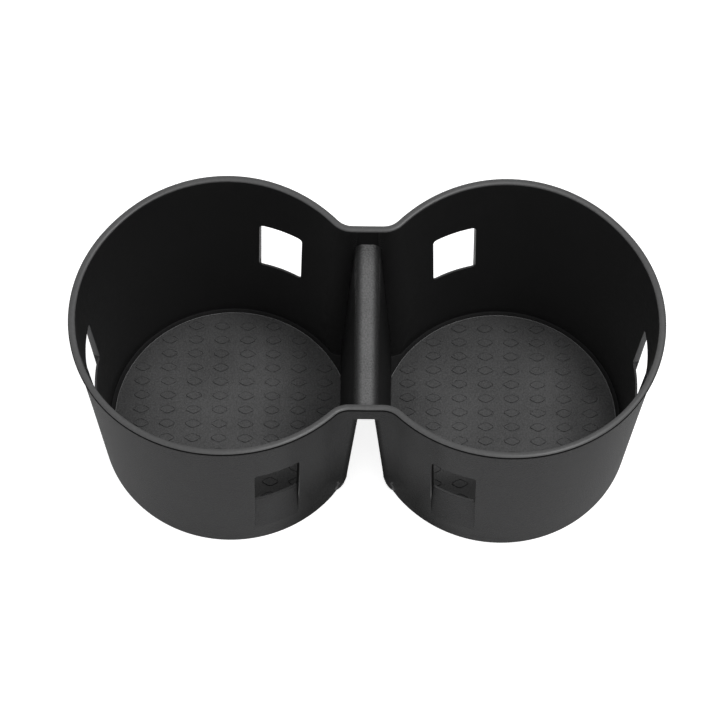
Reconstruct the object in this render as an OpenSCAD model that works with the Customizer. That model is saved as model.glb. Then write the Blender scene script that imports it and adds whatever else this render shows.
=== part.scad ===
// Double cup insert for a car centre console, moulded in one piece from soft black plastic.
// X runs along the two cups, Y from front to back, Z up from the feet of the cups.

/* [Overall] */
// Height from the feet to the highest part of the rim
overall_height = 74.4; // [50:0.1:110]
// Outside diameter of the round part of the rim
rim_diameter = 90; // [70:0.1:120]
// Distance between the two cup axes
cup_spacing = 81.8; // [64:0.1:110]
// Outside width of the rim at the narrow neck between the cups
neck_width = 59.6; // [40:0.1:76]
// Radius of the hollow corner where the neck meets a cup, measured on the rim
neck_fillet = 6; // [2:0.1:12]

/* [Rim] */
// Height of the rim band
rim_height = 1; // [0.6:0.1:4]
// Radius of the shallow arch that the rim makes over each cup, seen from the front
rim_arch_radius = 275; // [120:5:2000]
// How much lower the rim is at the neck than at the top of the arches
rim_neck_drop = 2; // [0.2:0.1:6]
// Width of the rim band seen from above
rim_width = 2.1; // [1:0.05:5]
// How far the rim stands out past the wall under it
rim_overhang = 0.8; // [0.2:0.05:2]

/* [Walls] */
// How much smaller the outside radius of a cup is at its foot than at the rim
foot_step = 5.35; // [2:0.05:12]
// Wall thickness at the foot of a cup
foot_wall = 2.35; // [1.2:0.05:5]
// Thickness of the floor under the textured panel
floor_thickness = 3.4; // [1.5:0.1:8]
// Height that the textured panel stands above the rest of the floor
panel_height = 0.3; // [0.1:0.05:1.5]
// Gap between the round edge of the panel and the wall
panel_gap = 1.4; // [0.3:0.05:4]

/* [Ridge between the cups] */
// How far the top of the ridge lies below the highest part of the rim
ridge_drop = 8.9; // [4:0.1:40]
// Thickness of the side walls of the ridge, measured across the channel
ridge_wall = 1.3; // [0.8:0.05:4]
// Radius of the rounded edges along the top of the ridge
ridge_round = 3.2; // [1:0.1:3.6]
// How far those edges would reach past the sides of the ridge if they were full rounds
ridge_reach = 0.3; // [0.1:0.05:1]
// Width of the channel under the ridge at the foot
channel_foot_width = 13.2; // [6:0.1:20]
// Width of the channel at its ceiling
channel_top_width = 4.8; // [2:0.1:12]
// Thickness of the ridge above the channel ceiling
ridge_roof = 2; // [1:0.1:6]
// Height up to which the foot of the neck is rounded back
neck_foot_height = 20; // [6:0.1:30]
// How far the foot of the neck is rounded back
neck_foot_depth = 3.6; // [1:0.1:9]

/* [Windows] */
// Width of a window
window_width = 13.6; // [6:0.1:24]
// Height of the lower edge of a window
window_sill = 30.5; // [14:0.1:60]
// Height of the upper edge of a window
window_head = 52.2; // [30:0.1:90]
// Corner radius of a window
window_corner = 1.2; // [0.5:0.1:3]
// Turn of the two inner windows away from straight front and back
window_turn = 21.5; // [0:0.5:45]
// How far the upright recessed strip below each window stands out past the foot of the cup
strip_step = 0.65; // [0.1:0.05:3]

/* [Hidden] */
$fn = 96;
shell_colour = [0.055, 0.055, 0.057];
past = 1; // extra length of a cutter past the face it cuts
overcut = 0.05; // makes the hollow corners cross the walls instead of only touching them
rim_radius = rim_diameter / 2;
cup_x = cup_spacing / 2;
neck_half = neck_width / 2;
band_foot = overall_height - rim_height;
corner_y = neck_half + neck_fillet;
corner_x = cup_x - sqrt(pow(rim_radius + neck_fillet, 2) - pow(corner_y, 2));
outer_slope = (foot_step - rim_overhang) / band_foot;
inner_foot_inset = foot_step + foot_wall;
inner_slope = (inner_foot_inset - rim_width) / overall_height;
floor_inset = inner_foot_inset - inner_slope * floor_thickness;
strip_radius = rim_radius - foot_step + strip_step;
ridge_height = overall_height - ridge_drop;
ridge_centre = ridge_height - ridge_round;
ridge_round_x = channel_top_width / 2 + ridge_wall + ridge_reach - ridge_round;
channel_ceiling = ridge_height - ridge_roof;
channel_slope = (channel_foot_width - channel_top_width) / 2 / channel_ceiling;
low_floor = floor_thickness - panel_height;
panel_radius = rim_radius - floor_inset - panel_gap;
foot_round = (pow(neck_foot_height, 2) + pow(neck_foot_depth, 2)) / 2 / neck_foot_depth;

// One round cup, drawn inside the rim outline by an inset that shrinks upwards
module cup_cone(z0, z1, foot_inset, slope) {
  foot_radius = rim_radius - foot_inset;
  translate([cup_x, 0, z0])
    cylinder(h = z1 - z0, r1 = foot_radius + slope * z0, r2 = foot_radius + slope * z1);
}

// Side view of the hollow beside the neck, measured out from the axis of a hollow corner.
// It leans with the mould draft and curves in under the neck at the foot.
module hollow_profile(foot_inset, slope) {
  top = overall_height + 2 * past;
  bend = neck_fillet + foot_inset - slope * neck_foot_height;
  polygon([
    [0, neck_foot_height],
    [bend, neck_foot_height],
    [bend - slope * (top - neck_foot_height), top],
    [0, top]
  ]);
  difference() {
    translate([0, -past])
      square([bend + neck_foot_depth, neck_foot_height + past]);
    translate([bend + foot_round, neck_foot_height])
      circle(foot_round);
  }
}

// The hollow beside the neck: straight along the neck and turned round both corners
module neck_hollow(foot_inset, slope) {
  translate([-corner_x, corner_y, 0])
    rotate([90, 0, 90])
      linear_extrude(2 * corner_x)
        mirror([1, 0])
          hollow_profile(foot_inset, slope);
  for (sx = [-1, 1])
    translate([sx * corner_x, corner_y, 0])
      rotate_extrude()
        hollow_profile(foot_inset + overcut, slope);
}

// The neck that joins the cups
module neck_block(z0, z1, foot_inset, slope) {
  difference() {
    translate([0, 0, z0])
      linear_extrude(z1 - z0)
        polygon([
          [cup_x, 0],
          [corner_x, corner_y],
          [-corner_x, corner_y],
          [-cup_x, 0],
          [-corner_x, -corner_y],
          [corner_x, -corner_y]
        ]);
    neck_hollow(foot_inset, slope);
    mirror([0, 1, 0])
      neck_hollow(foot_inset, slope);
  }
}

// Both cups and the neck as one solid block
module twin_form(z0, z1, foot_inset, slope) {
  cup_cone(z0, z1, foot_inset, slope);
  mirror([1, 0, 0])
    cup_cone(z0, z1, foot_inset, slope);
  neck_block(z0, z1, foot_inset, slope);
}

// Everything under the arched top of the rim, lowered by the given amount
module under_arch(lower) {
  crest = overall_height - lower;
  rotate([90, 0, 0])
    translate([0, 0, -rim_diameter])
      linear_extrude(2 * rim_diameter)
        intersection() {
          union() {
            for (sx = [-1, 1])
              translate([sx * cup_x, crest - rim_arch_radius])
                circle(rim_arch_radius, $fn = 256);
            translate([-cup_x, 0])
              square([cup_spacing, crest - rim_neck_drop]);
          }
          translate([-rim_diameter - cup_x, -past])
            square([2 * rim_diameter + cup_spacing, overall_height + 2 * past]);
        }
}

// The ridge that divides the cups, with sloping sides and a top rounded along both edges
module ridge() {
  foot = channel_foot_width / 2 + ridge_wall;
  head = foot - channel_slope * ridge_height;
  rotate([90, 0, 0])
    translate([0, 0, -neck_half])
      linear_extrude(neck_width)
        intersection() {
          polygon([[-foot, 0], [foot, 0], [head, ridge_height], [-head, ridge_height]]);
          union() {
            for (sx = [-1, 1])
              translate([sx * ridge_round_x, ridge_centre])
                circle(ridge_round);
            translate([-ridge_round_x, 0])
              square([2 * ridge_round_x, ridge_height]);
            translate([-foot, 0])
              square([2 * foot, ridge_centre]);
          }
        }
}

// The raised panel on the floor of one cup, running straight into the ridge
module floor_panel() {
  intersection() {
    translate([cup_x, 0, low_floor - past])
      cylinder(h = panel_height + past, r = panel_radius);
    translate([channel_foot_width / 2, -rim_radius, 0])
      cube([rim_diameter, rim_diameter, floor_thickness + past]);
  }
}

// The open channel under the ridge that fits over the divider of the console
module channel() {
  foot = channel_foot_width / 2;
  head = channel_top_width / 2;
  rotate([90, 0, 0])
    translate([0, 0, -rim_radius])
      linear_extrude(rim_diameter)
        polygon([
          [-foot - channel_slope * past, -past],
          [foot + channel_slope * past, -past],
          [head, channel_ceiling],
          [-head, channel_ceiling]
        ]);
}

// A window seen square on, with rounded corners
module window_outline() {
  half = window_width / 2;
  for (sx = [-1, 1])
    for (z = [window_sill + window_corner, window_head - window_corner])
      translate([sx * (half - window_corner), z])
        circle(window_corner);
  translate([window_corner - half, window_sill])
    square([window_width - 2 * window_corner, window_head - window_sill]);
  translate([-half, window_sill + window_corner])
    square([window_width, window_head - window_sill - 2 * window_corner]);
}

// One window and the upright strip below it, cut towards +X from the axis of a cup
module window_cut() {
  start = strip_radius / 2;
  rotate([90, 0, 90])
    translate([0, 0, start])
      linear_extrude(rim_diameter)
        window_outline();
  difference() {
    translate([start, -window_width / 2, -past])
      cube([rim_diameter, window_width, window_sill + window_corner + 2 * past]);
    translate([0, 0, -2 * past])
      cylinder(h = overall_height, r = strip_radius);
  }
}

// The three windows of one cup: one outwards and two turned towards the neck
module cup_windows() {
  translate([cup_x, 0, 0])
    for (turn = [0, 90 + window_turn, -90 - window_turn])
      rotate([0, 0, turn])
        window_cut();
}

// The whole insert as it leaves the mould
module cup_insert() {
  color(shell_colour) {
    difference() {
      union() {
        intersection() {
          twin_form(0, overall_height, foot_step, outer_slope);
          under_arch(rim_height / 2);
        }
        difference() {
          intersection() {
            twin_form(ridge_height, overall_height + past, 0, 0);
            under_arch(0);
          }
          under_arch(rim_height);
        }
      }
      difference() {
        twin_form(low_floor, overall_height + past, inner_foot_inset, inner_slope);
        ridge();
        floor_panel();
        mirror([1, 0, 0])
          floor_panel();
      }
      channel();
      cup_windows();
      mirror([1, 0, 0])
        cup_windows();
    }
  }
}

cup_insert();
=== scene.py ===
import math

import bmesh
import bpy
from mathutils import Matrix, Vector


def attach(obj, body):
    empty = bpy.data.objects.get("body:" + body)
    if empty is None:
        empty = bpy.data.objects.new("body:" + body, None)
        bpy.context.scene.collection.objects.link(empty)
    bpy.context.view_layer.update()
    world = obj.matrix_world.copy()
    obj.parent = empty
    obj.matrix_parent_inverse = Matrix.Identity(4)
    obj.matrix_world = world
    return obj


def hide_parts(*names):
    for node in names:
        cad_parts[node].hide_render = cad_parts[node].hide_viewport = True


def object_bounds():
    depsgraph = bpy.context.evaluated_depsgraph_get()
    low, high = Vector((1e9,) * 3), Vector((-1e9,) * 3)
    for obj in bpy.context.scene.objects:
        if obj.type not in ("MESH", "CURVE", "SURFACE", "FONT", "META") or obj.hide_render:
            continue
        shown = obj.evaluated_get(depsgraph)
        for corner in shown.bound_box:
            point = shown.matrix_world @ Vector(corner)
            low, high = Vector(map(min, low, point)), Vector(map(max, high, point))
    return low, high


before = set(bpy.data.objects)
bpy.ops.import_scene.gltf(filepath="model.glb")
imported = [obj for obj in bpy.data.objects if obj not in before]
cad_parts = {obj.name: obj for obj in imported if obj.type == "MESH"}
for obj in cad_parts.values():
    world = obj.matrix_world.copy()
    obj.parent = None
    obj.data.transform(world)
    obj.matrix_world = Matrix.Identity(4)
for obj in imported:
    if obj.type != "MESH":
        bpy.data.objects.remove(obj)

cad_low, cad_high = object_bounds()
MM = 0.001


# The camera looks down into the cups from the front with a long lens, so that both rims show whole.
# It is turned a little about its own axis, as the one that took the photograph was.
look_at = Vector((-1.9, 6.889, 30)) * MM
look_down = math.radians(63.856)
look_round = math.radians(-0.0188)
camera_turn = math.radians(0.655)
camera_distance = 917.5 * MM

towards_camera = Vector((
    math.sin(look_round) * math.cos(look_down),
    -math.cos(look_round) * math.cos(look_down),
    math.sin(look_down),
))
level_right = Vector((0, 0, 1)).cross(towards_camera).normalized()
level_up = towards_camera.cross(level_right)
frame_right = level_right * math.cos(camera_turn) + level_up * math.sin(camera_turn)
frame_up = level_up * math.cos(camera_turn) - level_right * math.sin(camera_turn)
lens = bpy.data.cameras.new("camera")
lens.lens = 152.717
lens.sensor_width = 36
lens.clip_start = 0.05
camera = bpy.data.objects.new("camera", lens)
turned = Matrix((frame_right, frame_up, towards_camera)).transposed().to_4x4()
camera.matrix_world = Matrix.Translation(look_at + towards_camera * camera_distance) @ turned
bpy.context.scene.collection.objects.link(camera)
bpy.context.scene.camera = camera


# The shell of the insert: two flared cups and the neck between them, injection moulded in one shot
# from a soft black plastic. Its wall leans with the draft of the mould and ends in a rolled rim.
rim_radius = 45
cup_x = 40.9
neck_half = 29.8
neck_fillet = 6
foot_step = 5.35
foot_wall = 2.35
rim_height = 1
rim_width = 2.1
rim_overhang = 0.8
rim_arch_radius = 275
rim_neck_drop = 2
low_floor = 3.1
neck_foot_height = 20
neck_foot_depth = 3.6
overall_height = cad_high.z / MM
corner_y = neck_half + neck_fillet
centre_gap = rim_radius + neck_fillet
corner_x = cup_x - math.sqrt(centre_gap ** 2 - corner_y ** 2)
corner_angle = math.atan2(corner_y, corner_x - cup_x)
outer_slope = (foot_step - rim_overhang) / (overall_height - rim_height)
inner_foot = foot_step + foot_wall
inner_slope = (inner_foot - rim_width) / overall_height
foot_round = (neck_foot_height ** 2 + neck_foot_depth ** 2) / 2 / neck_foot_depth
arch_start = 40


def rim_top(x):
    """Height of the top of the rim, which arches over each cup and runs level across the neck."""
    arch = math.sqrt(rim_arch_radius ** 2 - (abs(x) - cup_x) ** 2) - rim_arch_radius
    gap = arch + rim_neck_drop
    blend = 0.12
    return overall_height - rim_neck_drop + (gap + math.sqrt(gap * gap + blend)) / 2 - blend / 4


def arched(z):
    """How much of the arch of the rim a row of the wall follows; below the start of the arch, none."""
    return max(0, (z - arch_start) / (overall_height - arch_start))


def hollow_radius(inset, z, foot_inset, slope):
    """Radius of the hollow corner beside the neck; towards the foot the neck curves back."""
    if z >= neck_foot_height:
        return neck_fillet + inset
    knee = neck_fillet + foot_inset - slope * neck_foot_height
    return knee + foot_round - math.sqrt(foot_round ** 2 - (neck_foot_height - z) ** 2)


def quarter_outline(cup, hollow):
    """A quarter of the outline seen from above, from the far side of a cup to the middle of the neck."""
    reach = (cup ** 2 + centre_gap ** 2 - hollow ** 2) / (2 * cup * centre_gap)
    meet = corner_angle + math.acos(min(1, reach))
    points = []
    cup_steps = 66
    for i in range(cup_steps):
        turn = meet * i / cup_steps
        points.append((cup_x + cup * math.cos(turn), cup * math.sin(turn)))
    meet_x = cup_x + cup * math.cos(meet)
    meet_y = cup * math.sin(meet)
    start = math.atan2(meet_y - corner_y, meet_x - corner_x)
    end = -math.pi / 2
    corner_steps = 12
    for i in range(corner_steps):
        turn = start + (end - start) * i / corner_steps
        points.append((corner_x + hollow * math.cos(turn), corner_y + hollow * math.sin(turn)))
    neck_steps = 3
    for i in range(neck_steps + 1):
        points.append((corner_x * (1 - i / neck_steps), corner_y - hollow))
    return points


def whole_outline(quarter):
    """The closed outline, turning the same way round as the quarter."""
    back_left = [(-x, y) for x, y in reversed(quarter[:-1])]
    front_left = [(-x, -y) for x, y in quarter[1:]]
    front_right = [(x, -y) for x, y in reversed(quarter[1:-1])]
    return quarter + back_left + front_left + front_right


def wall_row(z, foot_inset, slope, grow=0.0, lift=0.0):
    """One row of points round the wall at a height; lift says how far up to the arched rim it goes."""
    inset = foot_inset - slope * z + grow
    hollow = hollow_radius(foot_inset - slope * z, z, foot_inset, slope) + grow
    row = []
    for x, y in whole_outline(quarter_outline(rim_radius - inset, hollow)):
        row.append((x, y, z + lift * (rim_top(x) - overall_height)))
    return row


def rim_row(inset, below):
    """One row of points round the rim, measured in from its edge and down from its top."""
    outline = whole_outline(quarter_outline(rim_radius - inset, neck_fillet + inset))
    return [(x, y, rim_top(x) - below) for x, y in outline]


def quarter_round(radius, steps):
    """A quarter round in section: how far each point stays off one side of the corner and the other."""
    turns = [math.pi / 2 * i / steps for i in range(steps + 1)]
    return [(radius * (1 - math.sin(turn)), radius * (1 - math.cos(turn))) for turn in turns]


def rounded(centre_in, centre_down, radius, start, end, steps):
    """Points of a rounded edge in the section of the rim, as inset and depth."""
    points = []
    for i in range(steps + 1):
        turn = math.radians(start + (end - start) * i / steps)
        points.append((centre_in + radius * math.cos(turn), centre_down - radius * math.sin(turn)))
    return points


def add_skin(solid, loops, capped=True):
    """Adds a skin over a stack of loops with equal counts, capped at both ends or joined end to end."""
    rings = [[solid.verts.new(point) for point in loop] for loop in loops]
    upper_rings = rings[1:] if capped else rings[1:] + rings[:1]
    for lower, upper in zip(rings, upper_rings):
        for i in range(len(lower)):
            j = (i + 1) % len(lower)
            solid.faces.new((lower[i], lower[j], upper[j], upper[i]))
    if capped:
        solid.faces.new(list(reversed(rings[0])))
        solid.faces.new(rings[-1])


def finished_mesh(name, solid):
    """Turns the faces of a solid outwards and keeps it as a mesh."""
    bmesh.ops.recalc_face_normals(solid, faces=solid.faces)
    mesh = bpy.data.meshes.new(name)
    solid.to_mesh(mesh)
    solid.free()
    return mesh


def closed_mesh(name, loops):
    """A closed solid from a stack of loops, capped at both ends."""
    solid = bmesh.new()
    add_skin(solid, loops)
    return finished_mesh(name, solid)


# The rows of the shell run up the outside from the rounded foot, over the rim, and down the inside.
rows = []
foot_edge = 0.6
for up, inset in reversed(quarter_round(foot_edge, steps=4)):
    rows.append(wall_row(up, foot_step, outer_slope, inset))
outer_levels = (2, 3.5, 5, 6.5, 8, 9.5, 11, 12.5, 14, 15.5, 17, 18.5, 20, 26, 32, 38, 44, 50, 56, 62, 67)
for z in outer_levels:
    rows.append(wall_row(z, foot_step, outer_slope, lift=arched(z)))
wall_end = 0.25
rows.append(wall_row(overall_height - rim_height - wall_end, foot_step, outer_slope, lift=1))
rim_tuck_in = 0.04
rim_tuck_down = 0.06
rim_under = 0.12
rows.append(rim_row(rim_overhang - rim_tuck_in, rim_height + rim_tuck_down))
for inset, below in rounded(rim_under, rim_height - rim_under, rim_under, start=270, end=180, steps=3):
    rows.append(rim_row(inset, below))
rim_round = 0.5
rim_crown = 0.13
brow_angle = 115
outer_half = rounded(rim_round, rim_round + rim_crown, rim_round, start=180, end=brow_angle, steps=5)
brow, brow_down = outer_half[-1]
for share in (1 / 3, 2 / 3):
    outer_half.append((brow + (rim_width / 2 - brow) * share, brow_down * (1 - share) ** 2))
inner_half = [(rim_width - inset, below) for inset, below in reversed(outer_half)]
for inset, below in outer_half + [(rim_width / 2, 0)] + inner_half:
    rows.append(rim_row(inset, below))
inner_levels = (70, 64, 58, 52, 46, 40, 34, 28, 22, 20, 18.5, 17, 15.5, 14, 12.5, 11, 9.5, 8, 6.5, 5)
for z in inner_levels:
    rows.append(wall_row(z, inner_foot, inner_slope, lift=arched(z)))
floor_round = 0.4
for up, inset in quarter_round(floor_round, steps=5):
    rows.append(wall_row(low_floor + up, inner_foot, inner_slope, inset))
insert = bpy.data.objects.new("insert", closed_mesh("insert", rows))
bpy.context.scene.collection.objects.link(insert)


# The ridge that parts the cups, moulded with the shell. It is hollow below, where the divider of the
# console comes up between the cups, and its top is rounded so that a cup slides off it.
ridge_drop = 8.9
ridge_wall = 1.3
ridge_round = 3.2
ridge_reach = 0.3
channel_foot_half = 6.6
channel_top_half = 2.4
ridge_roof = 2
ridge_height = overall_height - ridge_drop
channel_ceiling = ridge_height - ridge_roof
channel_slope = (channel_foot_half - channel_top_half) / channel_ceiling
ridge_centre = ridge_height - ridge_round
ridge_round_x = channel_top_half + ridge_wall + ridge_reach - ridge_round
tool_start = 1
tool_end = 60


def worked(piece, operation, tool_mesh):
    """Joins a tool solid to the piece or cuts it away, and keeps the result as the piece's mesh."""
    tool = bpy.data.objects.new("tool", tool_mesh)
    bpy.context.scene.collection.objects.link(tool)
    step = piece.modifiers.new("step", "BOOLEAN")
    step.operation = operation
    step.solver = "EXACT"
    step.object = tool
    bpy.context.view_layer.update()
    ready = piece.evaluated_get(bpy.context.evaluated_depsgraph_get())
    result = bpy.data.meshes.new_from_object(ready)
    piece.modifiers.clear()
    piece.data = result
    bpy.data.objects.remove(tool)


def ridge_half(z):
    """Half the width of the ridge at a height below its rounded top."""
    return channel_foot_half + ridge_wall - channel_slope * z


def ridge_end(z):
    """Where the ridge ends inside the wall of the neck."""
    outer = hollow_radius(foot_step - outer_slope * z, z, foot_step, outer_slope)
    inner = hollow_radius(inner_foot - inner_slope * z, z, inner_foot, inner_slope)
    return corner_y - (outer + inner) / 2


ridge_section = []
base_round = 0.4
base_sink = 0.02
for out, up in quarter_round(base_round, steps=4):
    ridge_section.append((ridge_half(low_floor) + out, low_floor + up - base_sink))
ridge_levels = (6, 8, 10, 12, 14, 16, 18, 20, 30, 40, 50, 56)
for z in ridge_levels:
    ridge_section.append((ridge_half(z), z))
lean = math.atan(channel_slope)
shoulder = lean + math.acos((ridge_half(ridge_centre) - ridge_round_x) * math.cos(lean) / ridge_round)
ridge_shoulder = ridge_centre + ridge_round * math.sin(shoulder)
round_steps = 12
for i in range(round_steps + 1):
    turn = shoulder + (math.pi / 2 - shoulder) * i / round_steps
    ridge_section.append((
        ridge_round_x + ridge_round * math.cos(turn),
        ridge_centre + ridge_round * math.sin(turn),
    ))
ridge_loops = []
for half, z in [(ridge_section[0][0], low_floor - tool_start)] + ridge_section:
    end = ridge_end(z)
    ridge_loops.append([(half, -end, z), (half, end, z), (-half, end, z), (-half, -end, z)])
worked(insert, "UNION", closed_mesh("ridge", ridge_loops))
channel_loops = []
for y in (-tool_end, tool_end):
    channel_loops.append([
        (-channel_foot_half - channel_slope * tool_start, y, -tool_start),
        (channel_foot_half + channel_slope * tool_start, y, -tool_start),
        (channel_top_half, y, channel_ceiling),
        (-channel_top_half, y, channel_ceiling),
    ])
worked(insert, "DIFFERENCE", closed_mesh("channel", channel_loops))

# At the feet the mouth of the channel opens out, so that the edge of each leg runs round into the cup.
flare_height = 18
flare_reach = 5.87
flare_radius = 8.45
flare_margin = 0.3
flare_fall = 0.65
flare_steps = 8
flare_levels = 12
flare_loops = []
for level in [-tool_start] + [flare_height * i / flare_levels for i in range(flare_levels + 1)]:
    z = max(0, level)
    reach = flare_reach * (1 - flare_fall * z / flare_height)
    face = corner_y - hollow_radius(foot_step - outer_slope * z, z, foot_step, outer_slope)
    half = channel_foot_half - channel_slope * z - flare_margin
    edge = []
    for i in range(flare_steps + 1):
        along = reach * i / flare_steps
        edge.append((half + along ** 2 / 2 / flare_radius, face - reach + along))
    edge.append((edge[-1][0] + (tool_end - face) * reach / flare_radius, tool_end))
    right = [(x, -y, level) for x, y in reversed(edge)] + [(x, y, level) for x, y in edge]
    left = [(-x, y, z_at) for x, y, z_at in reversed(right)]
    flare_loops.append(right + left)
worked(insert, "DIFFERENCE", closed_mesh("flare", flare_loops))


# Six windows through the walls, cored by side actions of the mould, and the shallow upright strip
# that each core leaves below its window, down to where the wall is no wider than the core.
window_half = 6.8
window_sill = 30.5
window_head = 52.2
window_corner = 1.2
window_turn = 21.5
core_start = 20
strip_step = 0.65
strip_radius = rim_radius - foot_step + strip_step
strip_half_turn = math.asin(window_half / strip_radius)
strip_steps = 12
corner_parts = 6
core_outline = []
for side, level, start in (
    (1, window_sill + window_corner, -90),
    (1, window_head - window_corner, 0),
    (-1, window_head - window_corner, 90),
    (-1, window_sill + window_corner, 180),
):
    for i in range(corner_parts + 1):
        turn = math.radians(start + 90 * i / corner_parts)
        core_outline.append((
            side * (window_half - window_corner) + window_corner * math.cos(turn),
            level + window_corner * math.sin(turn),
        ))
strip_base = []
for i in range(strip_steps + 1):
    turn = strip_half_turn * (2 * i / strip_steps - 1)
    strip_base.append((strip_radius * math.cos(turn), strip_radius * math.sin(turn)))
strip_base += [(tool_end, window_half), (tool_end, -window_half)]
for axis_x, facing in ((cup_x, 0), (-cup_x, 180)):
    for turn in (0, 90 + window_turn, -90 - window_turn):
        way = Matrix.Rotation(math.radians(facing + math.copysign(1, axis_x) * turn), 4, "Z")
        place = Matrix.Translation((axis_x, 0, 0)) @ way
        core_loops = [[place @ Vector((x, y, z)) for y, z in core_outline] for x in (core_start, tool_end)]
        worked(insert, "DIFFERENCE", closed_mesh("window", core_loops))
        strip_levels = (-2 * tool_start, window_sill + window_corner + tool_start)
        strip_loops = [[place @ Vector((x, y, z)) for x, y in strip_base] for z in strip_levels]
        worked(insert, "DIFFERENCE", closed_mesh("strip", strip_loops))


# The raised panel on each floor, moulded with it. It keeps the foot of a cup up off the ring of floor
# round it, ends a little short of the wall and runs straight into the ridge.
panel_top = 3.4
panel_radius = 36.15
panel_edge = 0.28
panel_tuck = 0.6
panel_steps = 150
panel_section = [(0, low_floor - tool_start)]
panel_section += [(inset, panel_top - down) for down, inset in quarter_round(panel_edge, steps=4)]
for side in (1, -1):
    panel_loops = []
    for inset, z in panel_section:
        radius = panel_radius - inset
        reach = math.acos((cup_x - channel_foot_half - panel_tuck) / radius)
        loop = []
        for i in range(panel_steps + 1):
            turn = (math.pi - reach) * (2 * i / panel_steps - 1)
            loop.append((side * (cup_x + radius * math.cos(turn)), radius * math.sin(turn), z))
        panel_loops.append(loop)
    worked(insert, "UNION", closed_mesh("panel", panel_loops))

# The cores of the mould are broken a little at every edge, so each cut edge of the insert comes out
# with a small round. The rim, the foot and the floor have their own larger rounds already.
edge_round = 0.22
edge_angle = math.radians(38)
weld_distance = 0.01
speck_size = 0.005
rounding = bmesh.new()
rounding.from_mesh(insert.data)
bmesh.ops.remove_doubles(rounding, verts=rounding.verts, dist=weld_distance)
bmesh.ops.dissolve_degenerate(rounding, dist=speck_size, edges=rounding.edges)
cut_edges = [edge for edge in rounding.edges if edge.calc_face_angle(0) > edge_angle]
bmesh.ops.bevel(
    rounding,
    geom=cut_edges,
    offset=edge_round,
    offset_type="OFFSET",
    segments=2,
    profile=0.5,
    affect="EDGES",
    clamp_overlap=False,
)
rounding.to_mesh(insert.data)
rounding.free()


# The field of small diamonds on each floor panel, engraved in the mould, which keeps a wet cup from
# sticking. Each is a low pad with rounded points inside a fine sunk line.
diamond_long = 2.85
diamond_wide = 1.6
diamond_blunt = 0.3
pitch_x = 8.04
pitch_y = 4.80
row_counts = (4, 6, 6, 8, 8, 8, 8, 8, 8, 8, 8, 6, 6, 4)
pad_height = 0.1
groove_half = 0.25
groove_depth = 0.18
# Each level of the two sections gives how much wider it is than the diamond, and its height above
# the panel. The pad is rooted in the panel, and the groove's tool is a ring with three edges.
pad_section = ((0, -0.5), (-0.02, 0), (-0.1, pad_height * 0.8), (-0.22, pad_height))
groove_section = ((-groove_half, pad_height + 0.2), (groove_half, pad_height), (0, -groove_depth))


def diamond_ring(grow):
    """A diamond with rounded points, larger all round by the given amount."""
    steep = math.hypot(diamond_long, diamond_wide) / (diamond_long * diamond_wide)
    points = [
        Vector((diamond_long * (1 + grow * steep) * x, diamond_wide * (1 + grow * steep) * y))
        for x, y in ((1, 0), (0, 1), (-1, 0), (0, -1))
    ]
    ring = []
    point_steps = 3
    for i, point in enumerate(points):
        first = point.lerp(points[i - 1], diamond_blunt)
        last = point.lerp(points[(i + 1) % 4], diamond_blunt)
        for k in range(point_steps + 1):
            share = k / point_steps
            ring.append(first.lerp(point, share).lerp(point.lerp(last, share), share))
    return ring


pads = bmesh.new()
grooves = bmesh.new()
for side in (1, -1):
    for row, count in enumerate(row_counts):
        for column in range(count):
            at_x = side * cup_x + (column - (count - 1) / 2) * pitch_x
            at_y = (row - (len(row_counts) - 1) / 2) * pitch_y
            for solid, section in ((pads, pad_section), (grooves, groove_section)):
                loops = []
                for grow, rise in section:
                    loops.append([(at_x + x, at_y + y, panel_top + rise) for x, y in diamond_ring(grow)])
                add_skin(solid, loops, capped=solid is pads)
worked(insert, "UNION", finished_mesh("pads", pads))
worked(insert, "DIFFERENCE", finished_mesh("grooves", grooves))


# The moulded surface of the one black plastic. The mould is polished inside the cups, which leaves
# them smooth, and spark eroded on the outside, the ridge and the floor panels, which leaves a fine matt
# grain. The inside is nearly black partly by painted shade, and the finishes below paint light and shade.
class Shade:
    """One value in a shader, so that sums on it can be written as plain sums."""

    def __init__(self, socket):
        self.socket = socket

    @staticmethod
    def node(tree, kind, settings, sockets, output=0):
        """Adds a node: its settings first, then the values or links of its sockets."""
        made = tree.nodes.new(kind)
        for name, value in settings.items():
            setattr(made, name, value)
        for name, value in sockets.items():
            if isinstance(value, Shade):
                tree.links.new(value.socket, made.inputs[name])
            else:
                made.inputs[name].default_value = value
        return Shade(made.outputs[output])

    def put(self, kind, settings, sockets, output=0):
        """Adds a node to the shader that this value is in."""
        return Shade.node(self.socket.id_data, kind, settings, sockets, output)

    def feed(self, socket):
        """Links this value to a socket of the finish."""
        self.socket.id_data.links.new(self.socket, socket)

    def beside(self, output):
        """Another output of the node that this value comes from."""
        return Shade(self.socket.node.outputs[output])

    def work(self, operation, first, second=0.0):
        return self.put("ShaderNodeMath", {"operation": operation}, {0: first, 1: second})

    def highest(self, other):
        return self.work("MAXIMUM", self, other)

    def unsigned(self):
        return self.work("ABSOLUTE", self)

    def ramp(self, start, end, low, high=1.0):
        """Goes smoothly from the low value at the start to the high value at the end."""
        sockets = {"Value": self, "From Min": start, "From Max": end, "To Min": low, "To Max": high}
        return self.put("ShaderNodeMapRange", {"interpolation_type": "SMOOTHSTEP"}, sockets)

    def mixed(self, first, second):
        """Goes from the first colour at 0 to the second at 1; in this node they are sockets 6 and 7."""
        return self.put("ShaderNodeMix", {"data_type": "RGBA"}, {"Factor": self, 6: first, 7: second}, 2)

    def __add__(self, other):
        return self.work("ADD", self, other)

    def __sub__(self, other):
        return self.work("SUBTRACT", self, other)

    def __rsub__(self, other):
        return self.work("SUBTRACT", other, self)

    def __mul__(self, other):
        return self.work("MULTIPLY", self, other)

    __radd__ = __add__
    __rmul__ = __mul__


black = (0, 0, 0, 1)


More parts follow.
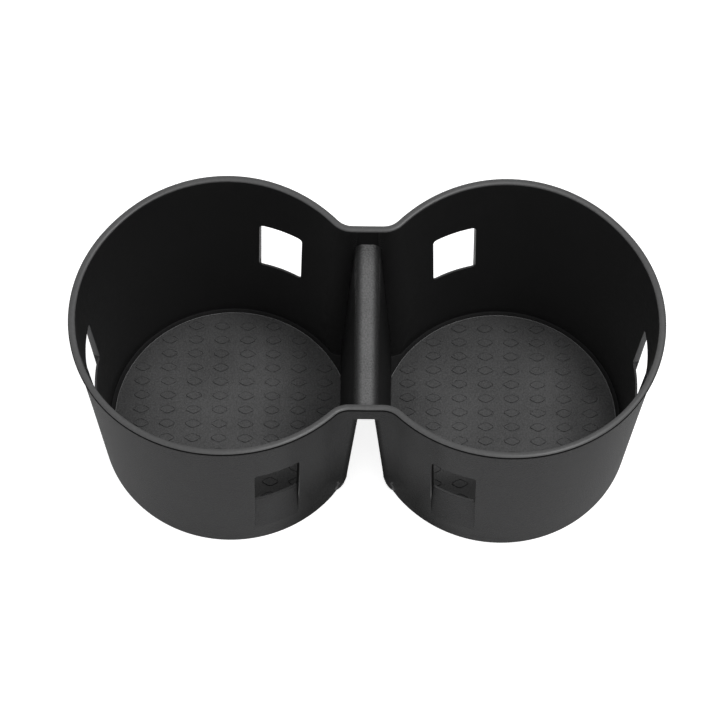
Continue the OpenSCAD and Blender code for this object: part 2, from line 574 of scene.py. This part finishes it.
def moulded(name, dark, light, rough, rough_change, grain, grain_size, gloss, painted_shade=None, dulled=0):
    """A finish of the black plastic: two tones, roughness, depth and size of its grain, and its gloss.

    A painted shade takes the place on the insert in mm and says how much of the tone is left there, the
    rest painted towards black as shade; dulled is how much rougher the plastic is where none is left.
    """
    finish = bpy.data.materials.new(name)
    finish.use_nodes = True
    skin = finish.node_tree.nodes["Principled BSDF"]
    skin.inputs["Specular IOR Level"].default_value = gloss
    place = Shade.node(finish.node_tree, "ShaderNodeTexCoord", {}, {}, "Object")
    pits_per_metre = 1 / (grain_size * MM)
    cloud = place.put("ShaderNodeTexNoise", {}, {"Vector": place, "Scale": 55.0, "Detail": 3.0})
    pits = place.put("ShaderNodeTexNoise", {}, {"Vector": place, "Scale": pits_per_metre, "Detail": 2.0})
    cloud_share = 0.35
    pits_share = 0.65
    contrast = 2.2
    tone = (cloud * cloud_share + pits * pits_share - 0.5) * contrast + 0.5
    colour = tone.mixed((*dark, 1), (*light, 1))
    matt = rough + (tone - 0.5) * rough_change
    if painted_shade:
        x = place.put("ShaderNodeSeparateXYZ", {}, {"Vector": place}, "X")
        across = (x * (1 / MM)).unsigned()
        along = x.beside("Y") * (1 / MM)
        height = x.beside("Z") * (1 / MM)
        left = painted_shade(across, along, height)
        # Painted shade: the tone is mixed towards black where the mask leaves less of it.
        colour = left.mixed(black, colour)
        matt = matt + (1 - left) * dulled
    bump = pits.put("ShaderNodeBump", {}, {"Strength": 1.0, "Distance": grain * MM, "Height": pits})
    colour.feed(skin.inputs["Base Color"])
    matt.feed(skin.inputs["Roughness"])
    bump.feed(skin.inputs["Normal"])
    return finish


def painted_shade_at_the_mouth(across, along, height):
    """Painted shade on the outside along the mouth of the channel and, beside it, towards the foot.

    The mouth is up to 1.7 mm wider from 14 mm down, and its painted dark line ends at the channel's
    ceiling.
    """
    opening = height.ramp(start=14, end=0, low=0, high=1.7)
    from_mouth = across + height * channel_slope - channel_foot_half - opening
    above_channel = height.ramp(start=62, end=64, low=0)
    line = from_mouth.ramp(start=0.2, end=1.8, low=0.05).highest(above_channel)
    above_foot = height.ramp(start=4, end=50, low=0.1, high=0.75)
    leg = from_mouth.ramp(start=5, end=24, low=0).highest(above_foot)
    return line * leg


def painted_shade_at_the_walls(across, along, height):
    """Painted shade on the floor where it lies close to the front, the back and the side walls."""
    front = along.ramp(start=-23, end=-10, low=0.2)
    back = along.ramp(start=42, end=8, low=0.5)
    sides = (across - cup_x).unsigned().ramp(start=38, end=14, low=0.62)
    return front * back * sides


def painted_shade_at_the_ridge_edges(across, along, height):
    """Painted shade on the top of the ridge down its rounded edges."""
    return across.ramp(start=2.8, end=0.9, low=0.1)


# The finishes by place, lighter and darker copies of the one plastic that paint light and shade: the
# outside, with painted shade at the mouth of the channel; the walls inside, partly in painted shade;
# painted shade for the places in shade (the flanks of the ridge, the channel and the ring round each
# panel); the panels, with painted shade near the walls; painted shade on the lower edge of a window; a
# painted highlight on the edge of a panel; painted light on the other cut faces of a window; a painted
# highlight on the top of the ridge, with painted shade down its edges; a painted shadow on the side of
# the rim, which the far sides of the front windows share; and the top of the rim.
finishes = {
    "grained": moulded(
        "grained_plastic", (0.02, 0.02, 0.0205), (0.058, 0.058, 0.059), rough=0.6, rough_change=0.15,
        grain=0.16, grain_size=0.5, gloss=0.06, painted_shade=painted_shade_at_the_mouth, dulled=0.2,
    ),
    "smooth": moulded(
        "smooth_plastic", (0.010, 0.010, 0.0102), (0.0135, 0.0135, 0.0137), rough=0.36, rough_change=0.1,
        grain=0.006, grain_size=1.5, gloss=0.28,
    ),
    "shade": moulded(
        "painted_shade_plastic", (0.009, 0.009, 0.0092), (0.013, 0.013, 0.0132), rough=0.5, rough_change=0.1,
        grain=0.006, grain_size=1.5, gloss=0.05,
    ),
    "floor": moulded(
        "floor_plastic", (0.038, 0.038, 0.0385), (0.106, 0.106, 0.107), rough=0.6, rough_change=0.15,
        grain=0.16, grain_size=0.5, gloss=0.2, painted_shade=painted_shade_at_the_walls,
    ),
    "sill": moulded(
        "sill_painted_shade", (0.02, 0.02, 0.0203), (0.04, 0.04, 0.0405), rough=0.6, rough_change=0.1,
        grain=0.01, grain_size=0.8, gloss=0.2,
    ),
    "edge": moulded(
        "panel_edge_painted_highlight", (0.14, 0.14, 0.141), (0.18, 0.18, 0.181), rough=0.45, rough_change=0.1,
        grain=0.01, grain_size=0.8, gloss=0.4,
    ),
    "cut": moulded(
        "window_cut_painted_light", (0.08, 0.08, 0.081), (0.12, 0.12, 0.121), rough=0.5, rough_change=0.1,
        grain=0.01, grain_size=0.8, gloss=0.2,
    ),
    "ridge": moulded(
        "ridge_painted_highlight", (0.022, 0.022, 0.0225), (0.132, 0.132, 0.133), rough=0.42, rough_change=0.15,
        grain=0.22, grain_size=0.5, gloss=0.3, painted_shade=painted_shade_at_the_ridge_edges,
    ),
    "painted shadow": moulded(
        "rim_side_painted_shadow", (0.005, 0.005, 0.005), (0.007, 0.007, 0.007), rough=0.6, rough_change=0.1,
        grain=0.01, grain_size=0.8, gloss=0.02,
    ),
    "rim": moulded(
        "rim_plastic", (0.034, 0.034, 0.0345), (0.054, 0.054, 0.0545), rough=0.4, rough_change=0.1,
        grain=0.01, grain_size=0.8, gloss=0.38,
    ),
}
pad_room = 0.2
mouth_room = 2.5
neck_room = 8
wall_start = 37
window_start = 15
steep_rim = 0.78


def finish_at(middle, facing):
    """Which finish a face of the insert gets, from its middle and the way it faces; most paint light or
    shade.

    Facing is mirrored with the cups, so that X is always away from the neck. The margins in mm allow
    for the small rounds, and some and half are how far a face has to be turned a way to count.
    """
    hair = 0.02
    spare = 0.3
    some = 0.3
    half = 0.5
    across = abs(middle.x)
    height = middle.z
    from_axis = Vector((across - cup_x, middle.y, 0))
    facing = Vector((math.copysign(1, middle.x) * facing.x, facing.y, facing.z))
    inward = -facing.dot(from_axis) / from_axis.length

    # The top of the rim, and a painted shadow on its outer side.
    if height > rim_top(middle.x) - rim_height + hair:
        return "painted shadow" if inward < 0 and facing.z < steep_rim else "rim"

    at_panel_height = low_floor + hair < height < panel_top + pad_room
    # The panels, and a painted highlight on their rounded edge.
    if at_panel_height and from_axis.length < panel_radius + hair / 2 and facing.z > 0.2:
        return "edge" if from_axis.length > panel_radius - panel_edge else "floor"

    channel_half = channel_foot_half - channel_slope * height
    in_channel = across < channel_half + mouth_room and height < channel_ceiling + spare
    # Painted shade in the channel.
    if in_channel and (facing.x < -some or facing.z < -some):
        return "shade"

    between_necks = abs(middle.y) < ridge_end(height)
    on_ridge = across < ridge_round_x + ridge_round and ridge_shoulder < height < ridge_height + 0.1
    # A painted highlight on the rounded top of the ridge.
    if between_necks and on_ridge:
        return "ridge"
    # Painted shade on the flanks of the ridge.
    if between_necks and height > low_floor and across < ridge_half(height) + spare:
        return "shade"

    at_neck = across < corner_x + neck_room and height > low_floor
    # Painted shade on the foot of the neck inside.
    if at_neck and height < neck_foot_height and facing.z > some:
        return "shade"
    if at_neck and facing.y * middle.y < -some * abs(middle.y):
        return "smooth"

    in_wall = abs(inward) < 0.6 and from_axis.length > wall_start and across > window_start
    in_window = in_wall and window_sill - spare < height < window_head + spare
    # Painted shade on the sill of a window.
    if in_window and facing.z > half:
        return "sill"
    at_front = middle.y < -half * from_axis.length and height < window_head + spare
    # On the front windows, a painted shadow on the far sides and painted light on the near ones.
    if in_wall and at_front and abs(facing.z) < half:
        return "painted shadow" if facing.x > some else "cut"
    # Painted light on the other cut faces of a window.
    if in_window:
        return "cut"

    # Painted shade on the ring of floor round each panel.
    if abs(height - low_floor - floor_round / 2) < floor_round / 2 + 0.05 and facing.z > 0.1:
        return "shade"
    if height > low_floor - 0.05 and inward > some:
        return "smooth"
    return "grained"


insert.data.materials.clear()
for finish in finishes.values():
    insert.data.materials.append(finish)
order = list(finishes)
for face in insert.data.polygons:
    face.material_index = order.index(finish_at(face.center, face.normal))

# The insert is brought to metres, kept inside its CAD box to the last digit, and shaded smooth
# between its real edges.
smooth_angle = math.radians(35)
insert.data.transform(Matrix.Scale(MM, 4))
for point in insert.data.vertices:
    point.co = [min(max(at, low), high) for at, low, high in zip(point.co, cad_low, cad_high)]
insert.data.shade_smooth()
insert.data.set_sharp_from_angle(angle=smooth_angle)
even = insert.modifiers.new("even shading", "WEIGHTED_NORMAL")
even.keep_sharp = True
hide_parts("cup_insert")
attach(insert, "root")


# The table the insert stands on, a plain pale top that shows as white and keeps the insert's shadow.
scene = bpy.context.scene
scene.view_settings.view_transform = "Standard"
table_half = 30
table_glow = (0.84, 0.84, 0.84, 1)
table_corners = [(x * table_half, y * table_half, 0) for x, y in ((-1, -1), (1, -1), (1, 1), (-1, 1))]
table_mesh = bpy.data.meshes.new("table")
table_mesh.from_pydata(table_corners, [], [(0, 1, 2, 3)])
table = bpy.data.objects.new("table", table_mesh)
scene.collection.objects.link(table)
pale = bpy.data.materials.new("pale_table")
pale.use_nodes = True
top = pale.node_tree.nodes["Principled BSDF"]
top.inputs["Base Color"].default_value = (0.6, 0.6, 0.6, 1)
top.inputs["Roughness"].default_value = 0.8
top.inputs["Emission Strength"].default_value = 1


def seen_directly(tree):
    """1 for what the camera sees straight, in a reflection or through something clear, and 0 for light."""
    straight = Shade.node(tree, "ShaderNodeLightPath", {}, {}, "Is Camera Ray")
    mirrored = straight.beside("Is Glossy Ray")
    through = straight.beside("Is Transmission Ray")
    return straight.highest(mirrored).highest(through)


seen_directly(pale.node_tree).mixed(black, table_glow).feed(top.inputs["Emission Color"])
table_mesh.materials.append(pale)

# The room is white to look at and lights the insert only weakly.
room_light = 0.15
room = bpy.data.worlds.new("room")
scene.world = room
room.use_nodes = True
around = room.node_tree.nodes["Background"]
around.inputs["Color"].default_value = (1, 1, 1, 1)
room_strength = seen_directly(room.node_tree) * (1 - room_light) + room_light
room_strength.feed(around.inputs["Strength"])

# Three soft boxes light it: a small one on the right, which draws the highlights of the rim and the
# ridge, a wide one overhead, and one above the front, which is kept out of the reflections.
light_aim = Vector((0, 0, 0.04))
for name, way, distance, size, energy, mirrored in (
    ("key_box", (0.33, 0, 1), 1.2, 0.25, 5.8, True),
    ("top_box", (0, 0.1, 1), 1.1, 2.2, 9.0, True),
    ("front_box", (0, -0.42, 1), 1.1, 0.5, 3.6, False),
):
    box_light = bpy.data.lights.new(name, "AREA")
    box_light.shape = "SQUARE"
    box_light.size = size
    box_light.energy = energy
    soft_box = bpy.data.objects.new(name, box_light)
    soft_box.visible_glossy = mirrored
    soft_box.location = Vector(way) * distance
    soft_box.rotation_euler = (light_aim - soft_box.location).to_track_quat("-Z", "Y").to_euler()
    scene.collection.objects.link(soft_box)
